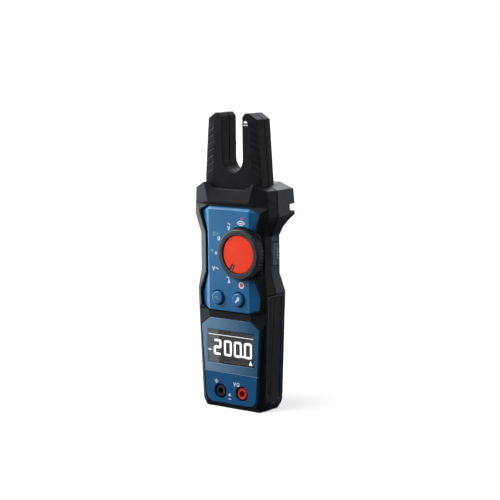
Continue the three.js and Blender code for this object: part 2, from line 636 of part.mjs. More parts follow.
// ---------------------------------------------------------------- battery compartment
['left', 'right'].forEach((name, i) => {
  const x = i === 0 ? -CELL_X : CELL_X;
  const nub = rodZ(2.7, 60, CELL_HIGH + 1.2, [x, CELL_Y], 16);
  const cell = union([rodZ(CELL_R, CELL_LOW, CELL_HIGH, [x, CELL_Y], 28), nub]);
  piece(`battery_cell_${name}`, cell, STEEL, 0.35, 0.6);
  const spring = coilSpring(3.0, 0.35, 18.7, 19.7, 2).translate([x, CELL_Y, 0]);
  piece(`battery_spring_${name}`, spring, STEEL, 0.3, 1);
});
piece('battery_contact_lower', box([-13.5, 13.5], [13.5, 24.0], [17.5, 18.1]), STEEL, 0.3, 1);
piece('battery_contact_upper', box([-13.5, 13.5], [13.5, 24.0], [71.0, 71.6]), STEEL, 0.3, 1);
piece('battery_seal', cut(bayBox(1.95, SEAL_FRONT, 26.75), [bayBox(0.95, 20, 30)]), FERRITE, 0.8);

function batteryDoor() {
  const { half, low, high, front, back } = DOOR;
  const plate = box([-half, half], [front, back], [low, high]);
  const lugs = LUGS.flatMap((x) => [
    box([x - 2, x + 2], [24.6, 26.4], [low - 2.4, low - 0.6]),
    box([x - 2, x + 2], [25.4, 26.4], [low - 2.4, low + 0.8]),
    box([x - 2, x + 2], [26.3, front + 0.5], [low, low + 0.8]),
  ]);
  const grips = [];
  for (let i = 0; i < 5; i += 1) {
    grips.push(box([-9, 9], [back - 0.5, back + 1], [56 + 2.4 * i, 57.2 + 2.4 * i]));
  }
  return cut(union([plate, ...lugs]), [
    rodY(3.3, 20, 40, [0, DOOR_SCREW_Z], 24),
    ...grips,
  ]);
}

piece('battery_door', batteryDoor(), REAR_GREY, 0.5);
piece('battery_screw', cut(
  turnedY(
    [[0, 22.6], [2.0, 22.6], [2.0, 27.0], [3.0, 27.0], [3.0, 28.1], [2.7, 28.4], [0, 28.4]],
    [0, DOOR_SCREW_Z], 24,
  ),
  [box([-2.3, 2.3], [27.4, 30], [DOOR_SCREW_Z - 0.45, DOOR_SCREW_Z + 0.45])],
), STEEL, 0.35, 1);
piece('rating_plate', box([-17.0, 17.0], [25.05, 25.3], [100.0, 119.0]), WHITE, 0.5);

// ---------------------------------------------------------------- current fork
const slotCut = prismY(slotOutline(SLOT_HALF, 3.6), 0, 40);
const slotWall = prismY(slotOutline(SLOT_HALF + 2.0, 3.6), 0, 40);

// Diagonal grip grooves on the sloping outer front faces, rising towards the slot.
function gripGrooves() {
  const slope = THREE.MathUtils.degToRad(28);
  const grooves = [];
  for (const side of [-1, 1]) {
    for (let i = 0; i < GROOVE_COUNT; i += 1) {
      const z = 167.6 + GROOVE_PITCH * i;
      const shape = new THREE.BoxGeometry(12, 1.2, 0.85);
      shape.rotateY(side * slope);
      shape.rotateZ(side * THREE.MathUtils.degToRad(9));
      const middle = along([[163.0, 20.6], [203.8, 18.7]], z);
      shape.translate(side * middle, 4.75, z);
      grooves.push(solidOf(shape));
    }
  }
  const facets = union([-1, 1].map((side) => hull(FORK.slice(1, 3).flatMap((s) => [
    [side * (s.flat + 0.3), 2, s.z], [side * (s.side + 1), 2, s.z],
    [side * (s.flat + 0.3), 9, s.z], [side * (s.side + 1), 9, s.z],
  ]))));
  return union(grooves).intersect(facets);
}

function forkShell(front) {
  const outer = cut(loft(forkSections()), [slotCut]);
  const inner = cut(loft(forkSections(-2.0)), [slotWall, box([-40, 40], [0, 40], [204.6, 220])]);
  const footPlane = box([-40, 40], [0, 40], [FORK_ROOT_Z - 1, FORK_ROOT_Z + 0.1]);
  const hollow = union([inner, loft(forkSections(-2.0)).intersect(footPlane)]);
  const half = front ? box([-40, 40], [0, FORK_SPLIT - GAP / 2], [100, 220])
    : box([-40, 40], [FORK_SPLIT + GAP / 2, 40], [100, 220]);
  const shell = cut(outer, [hollow]).intersect(half);
  return front ? cut(shell, [gripGrooves()]) : shell;
}

piece('fork_front_shell', forkShell(true), CHARCOAL, 0.5);
piece('fork_rear_shell', forkShell(false), CHARCOAL, 0.5);

['left', 'right'].forEach((name, i) => {
  const side = i === 0 ? -1 : 1;
  const near = (low, high) => (side > 0 ? [low, high] : [-high, -low]);
  piece(`sensor_core_${name}`, box(near(13.2, 17.6), [9.2, 16.8], [172, 200]), FERRITE, 0.6);
  const winding = cut(box(near(12.2, 18.5), [8.4, 17.6], [178, 190]), [
    box(near(12.9, 17.9), [8.9, 17.1], [170, 200]),
  ]);
  piece(`sensor_coil_${name}`, winding, COPPER, 0.4, 0.6);
});
piece('sensor_board', box([-20, 20], [11.6, 13.0], [149.5, 163.0]), BOARD_GREEN, 0.5);
piece('field_antenna', box([12.2, 15.4], [7.2, 7.6], [192, 203]), COPPER, 0.35, 1);

export default meter;
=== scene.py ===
"""Looks of a hand-held fork meter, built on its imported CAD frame. Metres, +Z up, front towards -Y."""
import json
import math

import bmesh
import bpy
from mathutils import Matrix, Vector
from mathutils.bvhtree import BVHTree

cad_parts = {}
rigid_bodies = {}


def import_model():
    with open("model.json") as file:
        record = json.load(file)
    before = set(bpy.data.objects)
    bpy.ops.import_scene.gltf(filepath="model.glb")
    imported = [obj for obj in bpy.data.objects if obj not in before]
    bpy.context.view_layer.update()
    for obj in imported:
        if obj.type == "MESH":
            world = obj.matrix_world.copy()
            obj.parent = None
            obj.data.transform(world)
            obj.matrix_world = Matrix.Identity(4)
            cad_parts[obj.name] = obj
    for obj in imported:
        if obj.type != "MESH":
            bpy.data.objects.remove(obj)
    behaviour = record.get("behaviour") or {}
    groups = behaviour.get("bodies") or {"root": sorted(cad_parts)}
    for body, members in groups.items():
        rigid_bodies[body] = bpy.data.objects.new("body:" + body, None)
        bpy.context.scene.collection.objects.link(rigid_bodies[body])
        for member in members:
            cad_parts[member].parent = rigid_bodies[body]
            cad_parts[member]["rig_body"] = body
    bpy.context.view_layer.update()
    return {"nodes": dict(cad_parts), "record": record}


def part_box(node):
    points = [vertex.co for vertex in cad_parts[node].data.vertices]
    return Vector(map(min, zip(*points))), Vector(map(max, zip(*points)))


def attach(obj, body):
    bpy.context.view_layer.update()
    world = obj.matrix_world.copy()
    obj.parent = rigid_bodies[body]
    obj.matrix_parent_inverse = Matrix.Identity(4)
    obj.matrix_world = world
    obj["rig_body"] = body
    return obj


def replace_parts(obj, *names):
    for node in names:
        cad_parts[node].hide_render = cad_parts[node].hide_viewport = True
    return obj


MM = 0.001
PANEL_Y = -14.5        # plane of the display panel
KEYPAD_Y = -15.1       # flat middle of the keypad panel
FORK_Y = -9.9          # front face of the fork
INK = 0.06             # height of the printed marks
JACKS = (-9.525, 9.525)
BUTTON_Y = -17.1

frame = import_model()


# ------------------------------------------------------------------ materials
class Paint:
    """A node material for one moulded, printed or metal surface, on the piece's own coordinates."""

    def __init__(self, name, roughness, metallic=0.0, **sockets):
        self.material = bpy.data.materials.new(name)
        self.material.use_nodes = True
        self.tree = self.material.node_tree
        self.shader = self.tree.nodes["Principled BSDF"]
        self.shader.inputs["Roughness"].default_value = roughness
        self.shader.inputs["Metallic"].default_value = metallic
        for socket, value in sockets.items():
            self.shader.inputs[socket.replace("_", " ")].default_value = value
        self.place = self.node("ShaderNodeTexCoord").outputs["Object"]

    def node(self, kind, inputs=None, **settings):
        made = self.tree.nodes.new(kind)
        for key, value in settings.items():
            setattr(made, key, value)
        for key, value in (inputs or {}).items():
            if isinstance(value, bpy.types.NodeSocket):
                self.tree.links.new(value, made.inputs[key])
            else:
                made.inputs[key].default_value = value
        return made

    def noise(self, size, detail=3.0, stretch=(1, 1, 1)):
        """Noise whose blobs are about size metres across."""
        place = self.node("ShaderNodeMapping", {"Vector": self.place, "Scale": stretch})
        return self.node("ShaderNodeTexNoise", {
            "Vector": place.outputs[0], "Scale": 1 / size, "Detail": detail,
        }).outputs["Fac"]

    def ramp(self, value, low, high, to_low=0.0, to_high=1.0):
        return self.node("ShaderNodeMapRange", {
            "Value": value, "From Min": low, "From Max": high, "To Min": to_low, "To Max": to_high,
        }).outputs["Result"]

    def mix(self, factor, a, b):
        return self.node("ShaderNodeMix", {"Factor": factor, 6: a, 7: b}, data_type="RGBA").outputs[2]

    def link(self, value, socket):
        self.tree.links.new(value, self.shader.inputs[socket])

    def colour(self, base, spread, size=0.012, edge=0.0):
        """Base colour with cloudy variation, and a paler tint on the rounded edges: a painted edge highlight,
        with some rubbing wear.
        """
        dark = (*[c * (1 - spread) for c in base], 1)
        light = (*[c * (1 + spread) for c in base], 1)
        value = self.mix(self.ramp(self.noise(size), 0.35, 0.65), dark, light)
        # Painted edge highlight with a little rubbing wear: a paler tint in patches on the rounded edge
        # faces.
        if edge:
            rubbed_and_highlit = (*[min(1.0, c * 1.5 + 0.03) for c in base], 1)
            on_edge = self.node("ShaderNodeAttribute", attribute_name="edge").outputs["Fac"]
            patchy = self.ramp(self.noise(0.006), 0.42, 0.62, 0.15, 1.0)
            amount = self.node("ShaderNodeMath", {0: on_edge, 1: patchy}, operation="MULTIPLY").outputs[0]
            amount = self.node("ShaderNodeMath", {0: amount, 1: edge}, operation="MULTIPLY").outputs[0]
            value = self.mix(amount, value, rubbed_and_highlit)
        self.link(value, "Base Color")
        return self

    def sheen_spots(self, roughness, spread, size=0.004, stretch=(1, 1, 1)):
        self.link(self.ramp(self.noise(size, 4.0, stretch), 0.3, 0.7, roughness - spread, roughness + spread),
                  "Roughness")
        return self

    def relief(self, size, depth, strength=0.5, detail=2.0, stretch=(1, 1, 1)):
        bump = self.node("ShaderNodeBump", {
            "Height": self.noise(size, detail, stretch), "Distance": depth, "Strength": strength,
        })
        self.link(bump.outputs["Normal"], "Normal")
        return self


def moulded(name, base, roughness, spread=0.08, grain=0.0005, depth=0.00004, edge=0.35, **sockets):
    paint = Paint(name, roughness, **sockets)
    paint.colour(base, spread, edge=edge).sheen_spots(roughness, 0.05).relief(grain, depth)
    return paint.material


def metal(name, base, roughness, stretch=(1, 1, 1), spread=0.06):
    paint = Paint(name, roughness, 1.0)
    paint.colour(base, spread, 0.003).sheen_spots(roughness, 0.07, 0.0015, stretch)
    paint.relief(0.0006, 0.00001, 0.4, 2.0, stretch)
    return paint.material


def board(name, base):
    """Solder mask over copper tracks: a fine rectangular pattern in two greens."""
    paint = Paint(name, 0.4)
    turned = paint.node("ShaderNodeMapping", {"Vector": paint.place, "Rotation": (math.pi / 2, 0, 0)})
    tracks = paint.node("ShaderNodeTexBrick", {
        "Vector": turned.outputs[0], "Scale": 260.0, "Mortar Size": 0.06,
        "Color1": (*base, 1), "Color2": (*[c * 1.25 for c in base], 1),
        "Mortar": (*[c * 1.9 for c in base], 1),
    })
    paint.link(tracks.outputs["Color"], "Base Color")
    return paint.relief(0.0008, 0.00003).material


def cell_jacket(name):
    """A plain battery jacket: dark body with a copper-coloured band at the positive end."""
    paint = Paint(name, 0.3, 0.5)
    height = paint.node("ShaderNodeSeparateXYZ", {"Vector": paint.place}).outputs["Z"]
    band = paint.ramp(height, 0.0565, 0.0568)
    paint.link(paint.mix(band, (0.02, 0.022, 0.026, 1), (0.5, 0.2, 0.06, 1)), "Base Color")
    return paint.sheen_spots(0.3, 0.06).relief(0.002, 0.00002).material


def film_and_painted_reflection(name, base, left, right):
    """The printed film of the display panel: above the dividing line it is glossier and its colour fades
    across, paler at the left, which is a painted reflection; below it is plain.
    """
    paint = Paint(name, 0.3)
    axes = paint.node("ShaderNodeSeparateXYZ", {"Vector": paint.place})
    above = paint.ramp(axes.outputs["Z"], 0.0253, 0.0259)
    cloudy = paint.ramp(paint.noise(0.02), 0.3, 0.7, -0.002, 0.002)
    across = paint.node("ShaderNodeMath", {0: axes.outputs["X"], 1: cloudy}, operation="ADD").outputs[0]
    # Painted reflection: above the line the film runs from the pale left colour to the darker right one.
    painted_reflection = paint.mix(paint.ramp(across, -0.022, 0.02), (*left, 1), (*right, 1))
    paint.link(paint.mix(above, (*base, 1), painted_reflection), "Base Color")
    paint.link(paint.ramp(above, 0, 1, 0.36, 0.2), "Roughness")
    paint.link(paint.ramp(above, 0, 1, 0.1, 0.3), "Specular IOR Level")
    return paint.relief(0.0007, 0.00001, 0.4).material


def glowing(name, base, strength, **sockets):
    paint = Paint(name, 0.4, Emission_Strength=strength, **sockets)
    shade = paint.mix(paint.ramp(paint.noise(0.004), 0.3, 0.7), (*[c * 0.94 for c in base], 1), (*base, 1))
    paint.link(shade, "Base Color")
    paint.link(shade, "Emission Color")
    return paint.material


def window(name):
    paint = Paint(name, 0.03, Transmission_Weight=1.0, IOR=1.46)
    cloudy = paint.ramp(paint.noise(0.02), 0.3, 0.7)
    paint.link(paint.mix(cloudy, (0.9, 0.91, 0.93, 1), (0.97, 0.97, 0.98, 1)), "Base Color")
    return paint.relief(0.03, 0.00001, 0.15).material


# The edge amounts set the paler painted edge highlight, with a little rubbing wear, on each moulding; it is
# strongest on the dark blue trims and the dial knob.
PAINTS = {
    "charcoal_plastic": moulded("charcoal_moulding", (0.0078, 0.009, 0.0112), 0.42, Specular_IOR_Level=0.12),
    "rear_plastic": moulded("rear_moulding", (0.026, 0.029, 0.035), 0.42, Specular_IOR_Level=0.3),
    "blue_plastic": moulded("blue_moulding", (0.011, 0.125, 0.3), 0.36, 0.05, 0.0004, 0.00002, 0.5,
                            Specular_IOR_Level=0.3),
    "dark_blue_plastic": moulded("dark_blue_moulding", (0.011, 0.034, 0.07), 0.36, edge=1.0),
    "orange_plastic": moulded("orange_cap", (0.88, 0.042, 0.01), 0.36, 0.04, 0.0006, 0.00002, 0.1,
                              Specular_IOR_Level=0.2),
    "red_plastic": moulded("red_sleeve", (0.52, 0.018, 0.012), 0.3, 0.05, 0.0006, 0.00002,
                           Specular_IOR_Level=0.3),
    "black_plastic": moulded("black_moulding", (0.006, 0.006, 0.008), 0.4, Specular_IOR_Level=0.25),
    "white_plastic": moulded("white_moulding", (0.78, 0.78, 0.75), 0.4, 0.03),
    "grip_rubber": moulded("grip_rubber", (0.014, 0.015, 0.018), 0.68, 0.12, 0.0009, 0.00008, 0.2),
    "seal_rubber": moulded("seal_rubber", (0.02, 0.02, 0.021), 0.75, 0.1, 0.0007, 0.00006, 0.1),
    "display_lens": window("display_window"),
    # The dark display glows faintly: painted light that lifts it as if lit through the window.
    "lcd": glowing("dark_display", (0.007, 0.0075, 0.009), 0.7, Specular_IOR_Level=0.0),
    "steel": metal("zinc_steel", (0.62, 0.63, 0.65), 0.3, (1, 6, 1)),
    "brass_contact": metal("brass", (0.78, 0.55, 0.2), 0.28),
    "copper": metal("enamelled_copper", (0.7, 0.3, 0.14), 0.35, (12, 1, 1)),
    "ferrite": moulded("ferrite", (0.05, 0.05, 0.055), 0.6, 0.2, 0.0008, 0.0001),
    "circuit_board": board("solder_mask", (0.012, 0.11, 0.045)),
    "cell_jacket": cell_jacket("cell_jacket"),
    "label": moulded("foil_label", (0.5, 0.51, 0.53), 0.35, 0.04, 0.0008, 0.00002),
}
FILM_AND_PAINTED_REFLECTION = film_and_painted_reflection("film_and_painted_reflection", (0.006, 0.078, 0.205), (0.12, 0.225, 0.36), (0.019, 0.082, 0.17))
KNOB = moulded("knob_moulding", (0.026, 0.029, 0.034), 0.44, edge=0.8, Specular_IOR_Level=0.3)
POINTER = moulded("pointer_moulding", (0.3, 0.19, 0.18), 0.45, edge=0.0)
INK_WHITE = moulded("white_ink", (0.82, 0.84, 0.86), 0.5, 0.03, edge=0.0)
INK_GREY = moulded("grey_ink", (0.3, 0.36, 0.42), 0.5, 0.05, edge=0.0)
INK_GREEN = moulded("green_ink", (0.2, 0.42, 0.33), 0.5, 0.05, edge=0.0)
INK_RED = moulded("red_ink", (0.75, 0.07, 0.05), 0.5, 0.05, edge=0.0)
INK_BLUE = moulded("pale_blue_line", (0.16, 0.33, 0.48), 0.4, 0.05, edge=0.0)
DIGITS = glowing("display_digits", (0.93, 0.95, 0.96), 0.95)

slots = {part["node"]: part["material_slot"] for part in frame["record"]["subparts"]}
for name, node in frame["nodes"].items():
    node.data.materials.clear()
    node.data.materials.append(PAINTS[slots[name]])


# ------------------------------------------------------------------ rounded copies of the CAD pieces
def object_of(bm, name, paint, body):
    mesh = bpy.data.meshes.new(name)
    bm.to_mesh(mesh)
    bm.free()
    mesh.materials.append(paint)
    made = bpy.data.objects.new(name, mesh)
    bpy.context.scene.collection.objects.link(made)
    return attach(made, body)


def corner_normals(bm, edge):
    """A normal for each face corner: flat faces stay flat, and the rounded edges blend between them."""
    def summed(vert, facing, limit, flat_only):
        total = Vector()
        for face in vert.link_faces:
            if not (flat_only and face[edge]) and face.normal.dot(facing) > limit:
                total += face.normal * face.calc_area()
        return total

    made = []
    for face in bm.faces:
        for corner in face.loops:
            total = summed(corner.vert, face.normal, 0.5 if face[edge] else 0.92, True)
            if total.length < 1e-13:
                total = summed(corner.vert, face.normal, 0.5, False)
            made.append(total.normalized() if total.length else face.normal.copy())
    return made


def rounded(node, width, segments=2, angle=20, paint=None):
    """Stands for a CAD node with a copy whose moulded edges are rounded, width in mm."""
    source = frame["nodes"][node]
    width *= MM
    bm = bmesh.new()
    bm.from_mesh(source.data)
    bmesh.ops.remove_doubles(bm, verts=bm.verts, dist=2e-6)
    surface = BVHTree.FromBMesh(bm)
    spans = [(min(values), max(values)) for values in zip(*(v.co for v in source.data.vertices))]
    edge = bm.faces.layers.float.new("edge")
    sharp = [e for e in bm.edges if e.is_manifold and e.calc_face_angle() > math.radians(angle)
             and e.calc_length() > 2.5 * width]
    made = bmesh.ops.bevel(bm, geom=sharp, offset=width, offset_type="OFFSET", segments=segments,
                           profile=0.5, affect="EDGES", clamp_overlap=False)
    for face in made["faces"]:
        face[edge] = 1.0
    for vert in bm.verts:
        nearest, _, _, away = surface.find_nearest(vert.co)
        if away > 0.6 * width:
            vert.co = nearest
        vert.co = [min(max(value, low), high) for value, (low, high) in zip(vert.co, spans)]
    bmesh.ops.triangulate(bm, faces=[f for f in bm.faces if len(f.verts) > 4])
    bmesh.ops.recalc_face_normals(bm, faces=bm.faces)
    for face in bm.faces:
        face.smooth = True
    normals = corner_normals(bm, edge)
    made = object_of(bm, node + "_shape", paint or PAINTS[slots[node]], source["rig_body"])
    made.data.normals_split_custom_set(normals)
    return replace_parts(made, node)


for node in ("front_housing", "rear_housing", "fork_front_shell", "fork_rear_shell"):
    rounded(node, 0.42)
rounded("keypad_panel", 0.3)
rounded("display_panel", 0.22, paint=FILM_AND_PAINTED_REFLECTION)
rounded("battery_door", 0.3)
rounded("hold_button", 0.3)
for node in ("select_button", "light_button"):
    rounded(node, 0.3, 3)
rounded("dial_knob", 0.16, paint=KNOB)
rounded("dial_cap", 0.18)
rounded("dial_pointer", 0.1, paint=POINTER)
for node in ("side_trim_left", "side_trim_right", "side_grip_left", "side_grip_right"):
    rounded(node, 0.14)
rounded("dial_tray", 0.2)
for node in ("com_jack_sleeve", "volt_jack_sleeve"):
    rounded(node, 0.16)
for node in ("battery_screw", *[f"case_screw_{i}" for i in range(1, 7)]):
    rounded(node, 0.12)
rounded("rating_plate", 0.05)


# ------------------------------------------------------------------ printed marks
class Print:
    """Flat marks in millimetres on a plane that faces -Y, +Y or +X, collected into one closed thin piece."""

    def __init__(self, plane, height=INK, facing="-Y"):
        self.bm = bmesh.new()
        self.plane = plane
        self.height = height
        self.facing = facing

    def point(self, u, v, lift):
        if self.facing == "-Y":
            return Vector((u, self.plane - lift, v)) * MM
        if self.facing == "+Y":
            return Vector((-u, self.plane + lift, v)) * MM
        return Vector((self.plane + lift, u, v)) * MM

    def fill(self, outline):
        """A closed prism over an outline of points that runs anticlockwise."""
        low = [self.bm.verts.new(self.point(u, v, 0.0)) for u, v in outline]
        high = [self.bm.verts.new(self.point(u, v, self.height)) for u, v in outline]
        self.bm.faces.new(high)
        self.bm.faces.new(low[::-1])
        for i in range(len(outline)):
            j = (i + 1) % len(outline)
            self.bm.faces.new([low[i], low[j], high[j], high[i]])

    def band(self, outer, inner, closed=True):
        """A strip between two outlines with the same number of points: a ring, or capped at both ends."""
        rings = [[self.bm.verts.new(self.point(u, v, lift)) for u, v in line]
                 for line, lift in ((outer, 0.0), (outer, self.height), (inner, self.height), (inner, 0.0))]
        for k in range(4):
            a, b = rings[k], rings[(k + 1) % 4]
            for i in range(len(outer) - (not closed)):
                j = (i + 1) % len(outer)
                self.bm.faces.new([a[i], a[j], b[j], b[i]])
        if not closed:
            for end in (0, -1):
                self.bm.faces.new([ring[end] for ring in rings])

    def stroke(self, line, width, closed=False):
        """A pen line of constant width with mitred corners."""
        points = [Vector(p) for p in line]
        sides = ([], [])
        count = len(points)
        for i, here in enumerate(points):
            before = points[i - 1] if closed or i else here
            after = points[(i + 1) % count] if closed or i + 1 < count else here
            into, out = (here - before).normalized(), (after - here).normalized()
            into, out = (into if before != here else out), (out if after != here else into)
            along = (into + out).normalized()
            across = Vector((along.y, -along.x)) * (width / 2 / max(0.35, along.dot(out)))
            sides[0].append(tuple(here + across))
            sides[1].append(tuple(here - across))
        self.band(*sides, closed)

    def disc(self, centre, radius, sides=32, start=0.0, end=360.0):
        self.fill(arc(centre, radius, start, end, sides, end - start == 360.0))

    def ring(self, centre, outer, inner, sides=40):
        self.band(arc(centre, outer, 0, 360, sides, True), arc(centre, inner, 0, 360, sides, True))

    def done(self, name, paint, body="meter"):
        bmesh.ops.recalc_face_normals(self.bm, faces=self.bm.faces)
        return object_of(self.bm, name, paint, body)


def arc(centre, radius, start, end, steps, closed=False):
    turns = [math.radians(start + (end - start) * i / steps) for i in range(steps + (not closed))]
    return [(centre[0] + radius * math.cos(t), centre[1] + radius * math.sin(t)) for t in turns]


def corners_rounded(points, radius, steps=5, closed=False):
    """The line through the points with its corners turned into arcs."""
    made = []
    count = len(points)
    for i, here in enumerate(points):
        if not closed and i in (0, count - 1):
            made.append(here)
            continue
        here = Vector(here)
        into = (here - Vector(points[i - 1])).normalized()
        out = (Vector(points[(i + 1) % count]) - here).normalized()
        for k in range(steps + 1):
            t = k / steps
            start, end = here - into * radius, here + out * radius
            made.append(tuple(start.lerp(here, t).lerp(here.lerp(end, t), t)))
    return made


def wave(x, z, width, height=0.9, steps=14):
    return [(x + width * (i / steps - 0.5), z + height / 2 * math.sin(2 * math.pi * i / steps))
            for i in range(steps + 1)]


def letter_v(x, z, size):
    return [(x - 0.36 * size, z + size / 2), (x, z - size / 2), (x + 0.36 * size, z + size / 2)]


def letter_a(x, z, size):
    return [(x - 0.38 * size, z - size / 2), (x, z + size / 2), (x + 0.38 * size, z - size / 2)]


def ohm(x, z, size):
    r = 0.38 * size
    bow = arc((x, z + 0.08 * size), r, -60, 240, 18)
    foot = z - size / 2
    return [(x + r, foot), (x + 0.45 * r, foot), *bow, (x - 0.45 * r, foot), (x - r, foot)]


# tongues that close the line between the two case shells: (z, half width, parting y) at each level
def seam_tongue(name, side, levels):
    bm = bmesh.new()
    rings = [[bm.verts.new(Vector((side * (half - inset), y + lift, z)) * MM)
              for inset, lift in ((0.9, -0.14), (2.0, -0.14), (2.0, 0.14), (0.9, 0.14))]
             for z, half, y in levels]
    for low, high in zip(rings, rings[1:]):
        for i in range(4):
            j = (i + 1) % 4
            bm.faces.new([low[i], low[j], high[j], high[i]])
    bm.faces.new(rings[0])
    bm.faces.new(rings[-1])
    bmesh.ops.recalc_face_normals(bm, faces=bm.faces)
    object_of(bm, name, PAINTS["charcoal_plastic"], "meter")


for side, word in ((-1, "left"), (1, "right")):
    seam_tongue("seam_tongue_low_" + word, side, ((0.8, 24.4, -4.88), (4.5, 27.0, -4.74), (8.0, 27.2, -4.61)))
    seam_tongue("seam_tongue_high_" + word, side, (
        (89.0, 29.6, -2.37), (98.0, 28.4, -4.1), (122.0, 28.4, -4.1), (129.5, 30.3, -2.04),
        (134.0, 31.6, -0.8), (137.2, 32.4, -0.8), (155.1, 31.4, -0.8), (158.0, 26.0, -0.8)))
    seam_tongue("seam_tongue_fork_" + word, side, (
        (161.0, 24.8, -1.2), (163.0, 24.7, -1.2), (203.7, 21.5, -1.2), (207.0, 15.9, -1.2)))

# dial positions, one every 30 degrees round the lower left of the dial
marks = Print(KEYPAD_Y)
marks.stroke(letter_a(0.0, 91.2, 2.6), 0.55)
marks.stroke([(-0.62, 90.6), (0.62, 90.6)], 0.45)
marks.stroke(wave(-0.9, 93.9, 2.2), 0.45)
marks.stroke(letter_v(-13.6, 99.5, 2.8), 0.55)
marks.stroke(wave(-10.5, 99.5, 2.4), 0.5)
marks.ring((-11.3, 110.3), 1.25, 0.75, 4)
marks.stroke(ohm(-8.6, 120.9, 2.3), 0.5)
marks.stroke(letter_v(0.4, 128.7, 2.6), 0.55)
marks.stroke(wave(0.7, 131.6, 2.3), 0.45)
for radius in (1.6, 2.9, 4.2):
    marks.stroke(arc((11.2, 129.9), radius, 35, 145, 12), 0.6)
marks.done("dial_marks", INK_WHITE)

second = Print(KEYPAD_Y)
second.stroke([(-15.9, 111.9), (-14.7, 111.9), (-14.7, 112.6), (-13.6, 111.9), (-14.7, 111.2),
               (-14.7, 111.9)], 0.4)
second.stroke(ohm(-12.7, 123.9, 2.4), 0.45)
second.stroke([(-10.2, 122.9), (-10.2, 124.9)], 0.4)
second.stroke([(-9.3, 122.9), (-9.3, 124.9)], 0.4)
second.done("dial_second_marks", INK_GREEN)

off = Print(KEYPAD_Y)
off.ring((10.95, 89.36), 2.35, 1.45)
off.done("off_ring", INK_WHITE)
off_bar = Print(KEYPAD_Y)
off_bar.ring((10.95, 89.36), 1.4, 0.75)
off_bar.stroke([(10.95, 89.0), (10.95, 90.6)], 0.45)
off_bar.done("off_mark", INK_RED)

signal = Print(KEYPAD_Y)
signal.stroke(arc((11.9, 135.4), 1.3, 20, 160, 10), 0.35)
signal.disc((11.9, 135.4), 0.45, 12)
signal.done("signal_mark", INK_RED)

# push button symbols
choose = Print(BUTTON_Y)
choose.stroke([(-11.6, 79.9), (-10.4, 79.9)], 0.45)
choose.stroke([(-9.9, 79.9), (-8.7, 79.9)], 0.45)
choose.stroke([(-11.6, 78.7), (-7.6, 78.7)], 0.45)
choose.done("select_mark", INK_GREY, "select_button")

torch = Print(BUTTON_Y)
torch.stroke([(7.05, 77.25), (9.2, 79.5)], 1.15)
torch.stroke([(8.5, 80.7), (10.3, 78.9)], 1.1)
torch.fill([(9.0, 80.5), (10.1, 79.4), (10.5, 81.4)])
torch.done("light_mark", INK_WHITE, "light_button")

# test jack symbols and the line that divides the display panel
jack_marks = Print(PANEL_Y)
for offset, half in ((0.9, 1.7), (0.0, 1.15), (-0.9, 0.6)):
    jack_marks.stroke([(JACKS[0] - 3.4 - half, 18.3 + offset), (JACKS[0] - 3.4 + half, 18.3 + offset)], 0.42)
jack_marks.stroke([(JACKS[0] - 3.4, 19.0), (JACKS[0] - 3.4, 20.3)], 0.42)
jack_marks.stroke(letter_v(3.4, 18.4, 2.5), 0.5)
jack_marks.stroke(ohm(6.4, 18.4, 2.5), 0.5)
jack_marks.fill([(-2.3, 9.4), (0.1, 9.4), (-1.1, 11.5)])
jack_marks.stroke([(-2.2, 7.1), (0.0, 7.1)], 0.6)
jack_marks.done("jack_marks", INK_WHITE)
divider = Print(PANEL_Y + 0.22, 0.2)
divider.stroke([(-24.0, 25.6), (24.0, 25.6)], 0.26)
divider.done("panel_divider", INK_BLUE)

# fork marks
fork_marks = Print(FORK_Y)
fork_marks.disc((12.1, 201.2), 1.6, 18, 0.0, 180.0)
fork_marks.stroke([(10.5, 199.8), (11.5, 199.8)], 0.75)
fork_marks.stroke([(11.8, 199.8), (12.5, 199.8)], 0.75)
fork_marks.stroke([(12.8, 199.8), (13.8, 199.8)], 0.75)
fork_marks.done("field_mark", INK_WHITE)
centre_marks = Print(FORK_Y)
for side in (-1, 1):
    centre_marks.fill([(side * 12.4 - 0.7, 175.1), (side * 12.4 + 0.7, 175.1), (side * 12.4, 176.8)])
centre_marks.done("centre_marks", PAINTS["black_plastic"])

# hold button mark, on the side
hold_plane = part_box("hold_button")[1].x / MM
hold = Print(hold_plane - 0.05, 0.1, "+X")
for low in (107.2, 109.3, 111.4, 113.5):
    hold.stroke([(3.1, low), (3.1, low + 1.4)], 0.75)
hold.done("hold_mark", INK_WHITE, "hold_button")

# battery door: outlines of the two cells and which way each one lies
door_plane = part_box("battery_door")[1].y / MM
cells = Print(door_plane - 0.02, 0.06, "+Y")
for side in (-1, 1):
    x = side * 5.0
    body = [(x - 3.0, 24.0), (x + 3.0, 24.0), (x + 3.0, 46.0), (x + 1.1, 46.0), (x + 1.1, 47.4),
            (x - 1.1, 47.4), (x - 1.1, 46.0), (x - 3.0, 46.0)]
    cells.stroke(body, 0.35, closed=True)
    cells.stroke([(x - 1.0, 27.5), (x + 1.0, 27.5)], 0.4)
    cells.stroke([(x - 1.0, 42.5), (x + 1.0, 42.5)], 0.4)
    cells.stroke([(x, 41.5), (x, 43.5)], 0.4)
cells.done("cell_marks", INK_GREY, "battery_door")


plate_low, plate_high = [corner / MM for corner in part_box("rating_plate")]
plate = Print(plate_high.y - 0.01, 0.05, "+Y")
left, right, low, high = plate_low.x + 1.2, plate_high.x - 1.2, plate_low.z + 1.2, plate_high.z - 1.2
plate.stroke([(left, low), (right, low), (right, high), (left, high)], 0.3, closed=True)
x, z = (left + right) / 2 - 8.0, (low + high) / 2
for half in (1.1, 2.0):
    square = [(x - half, z - half), (x + half, z - half), (x + half, z + half), (x - half, z + half)]
    plate.stroke(square, 0.35, closed=True)
plate.stroke([(x + 6.0, z - 1.8), (x + 8.2, z + 2.0), (x + 10.4, z - 1.8)], 0.35, closed=True)
plate.done("plate_marks", INK_GREY)


# ------------------------------------------------------------------ display
glass_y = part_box("lcd_glass")[0].y / MM
DIGIT_LOW, DIGIT_HIGH = 38.2, 47.85
DIGIT_HALF = 2.65
PEN = 1.6

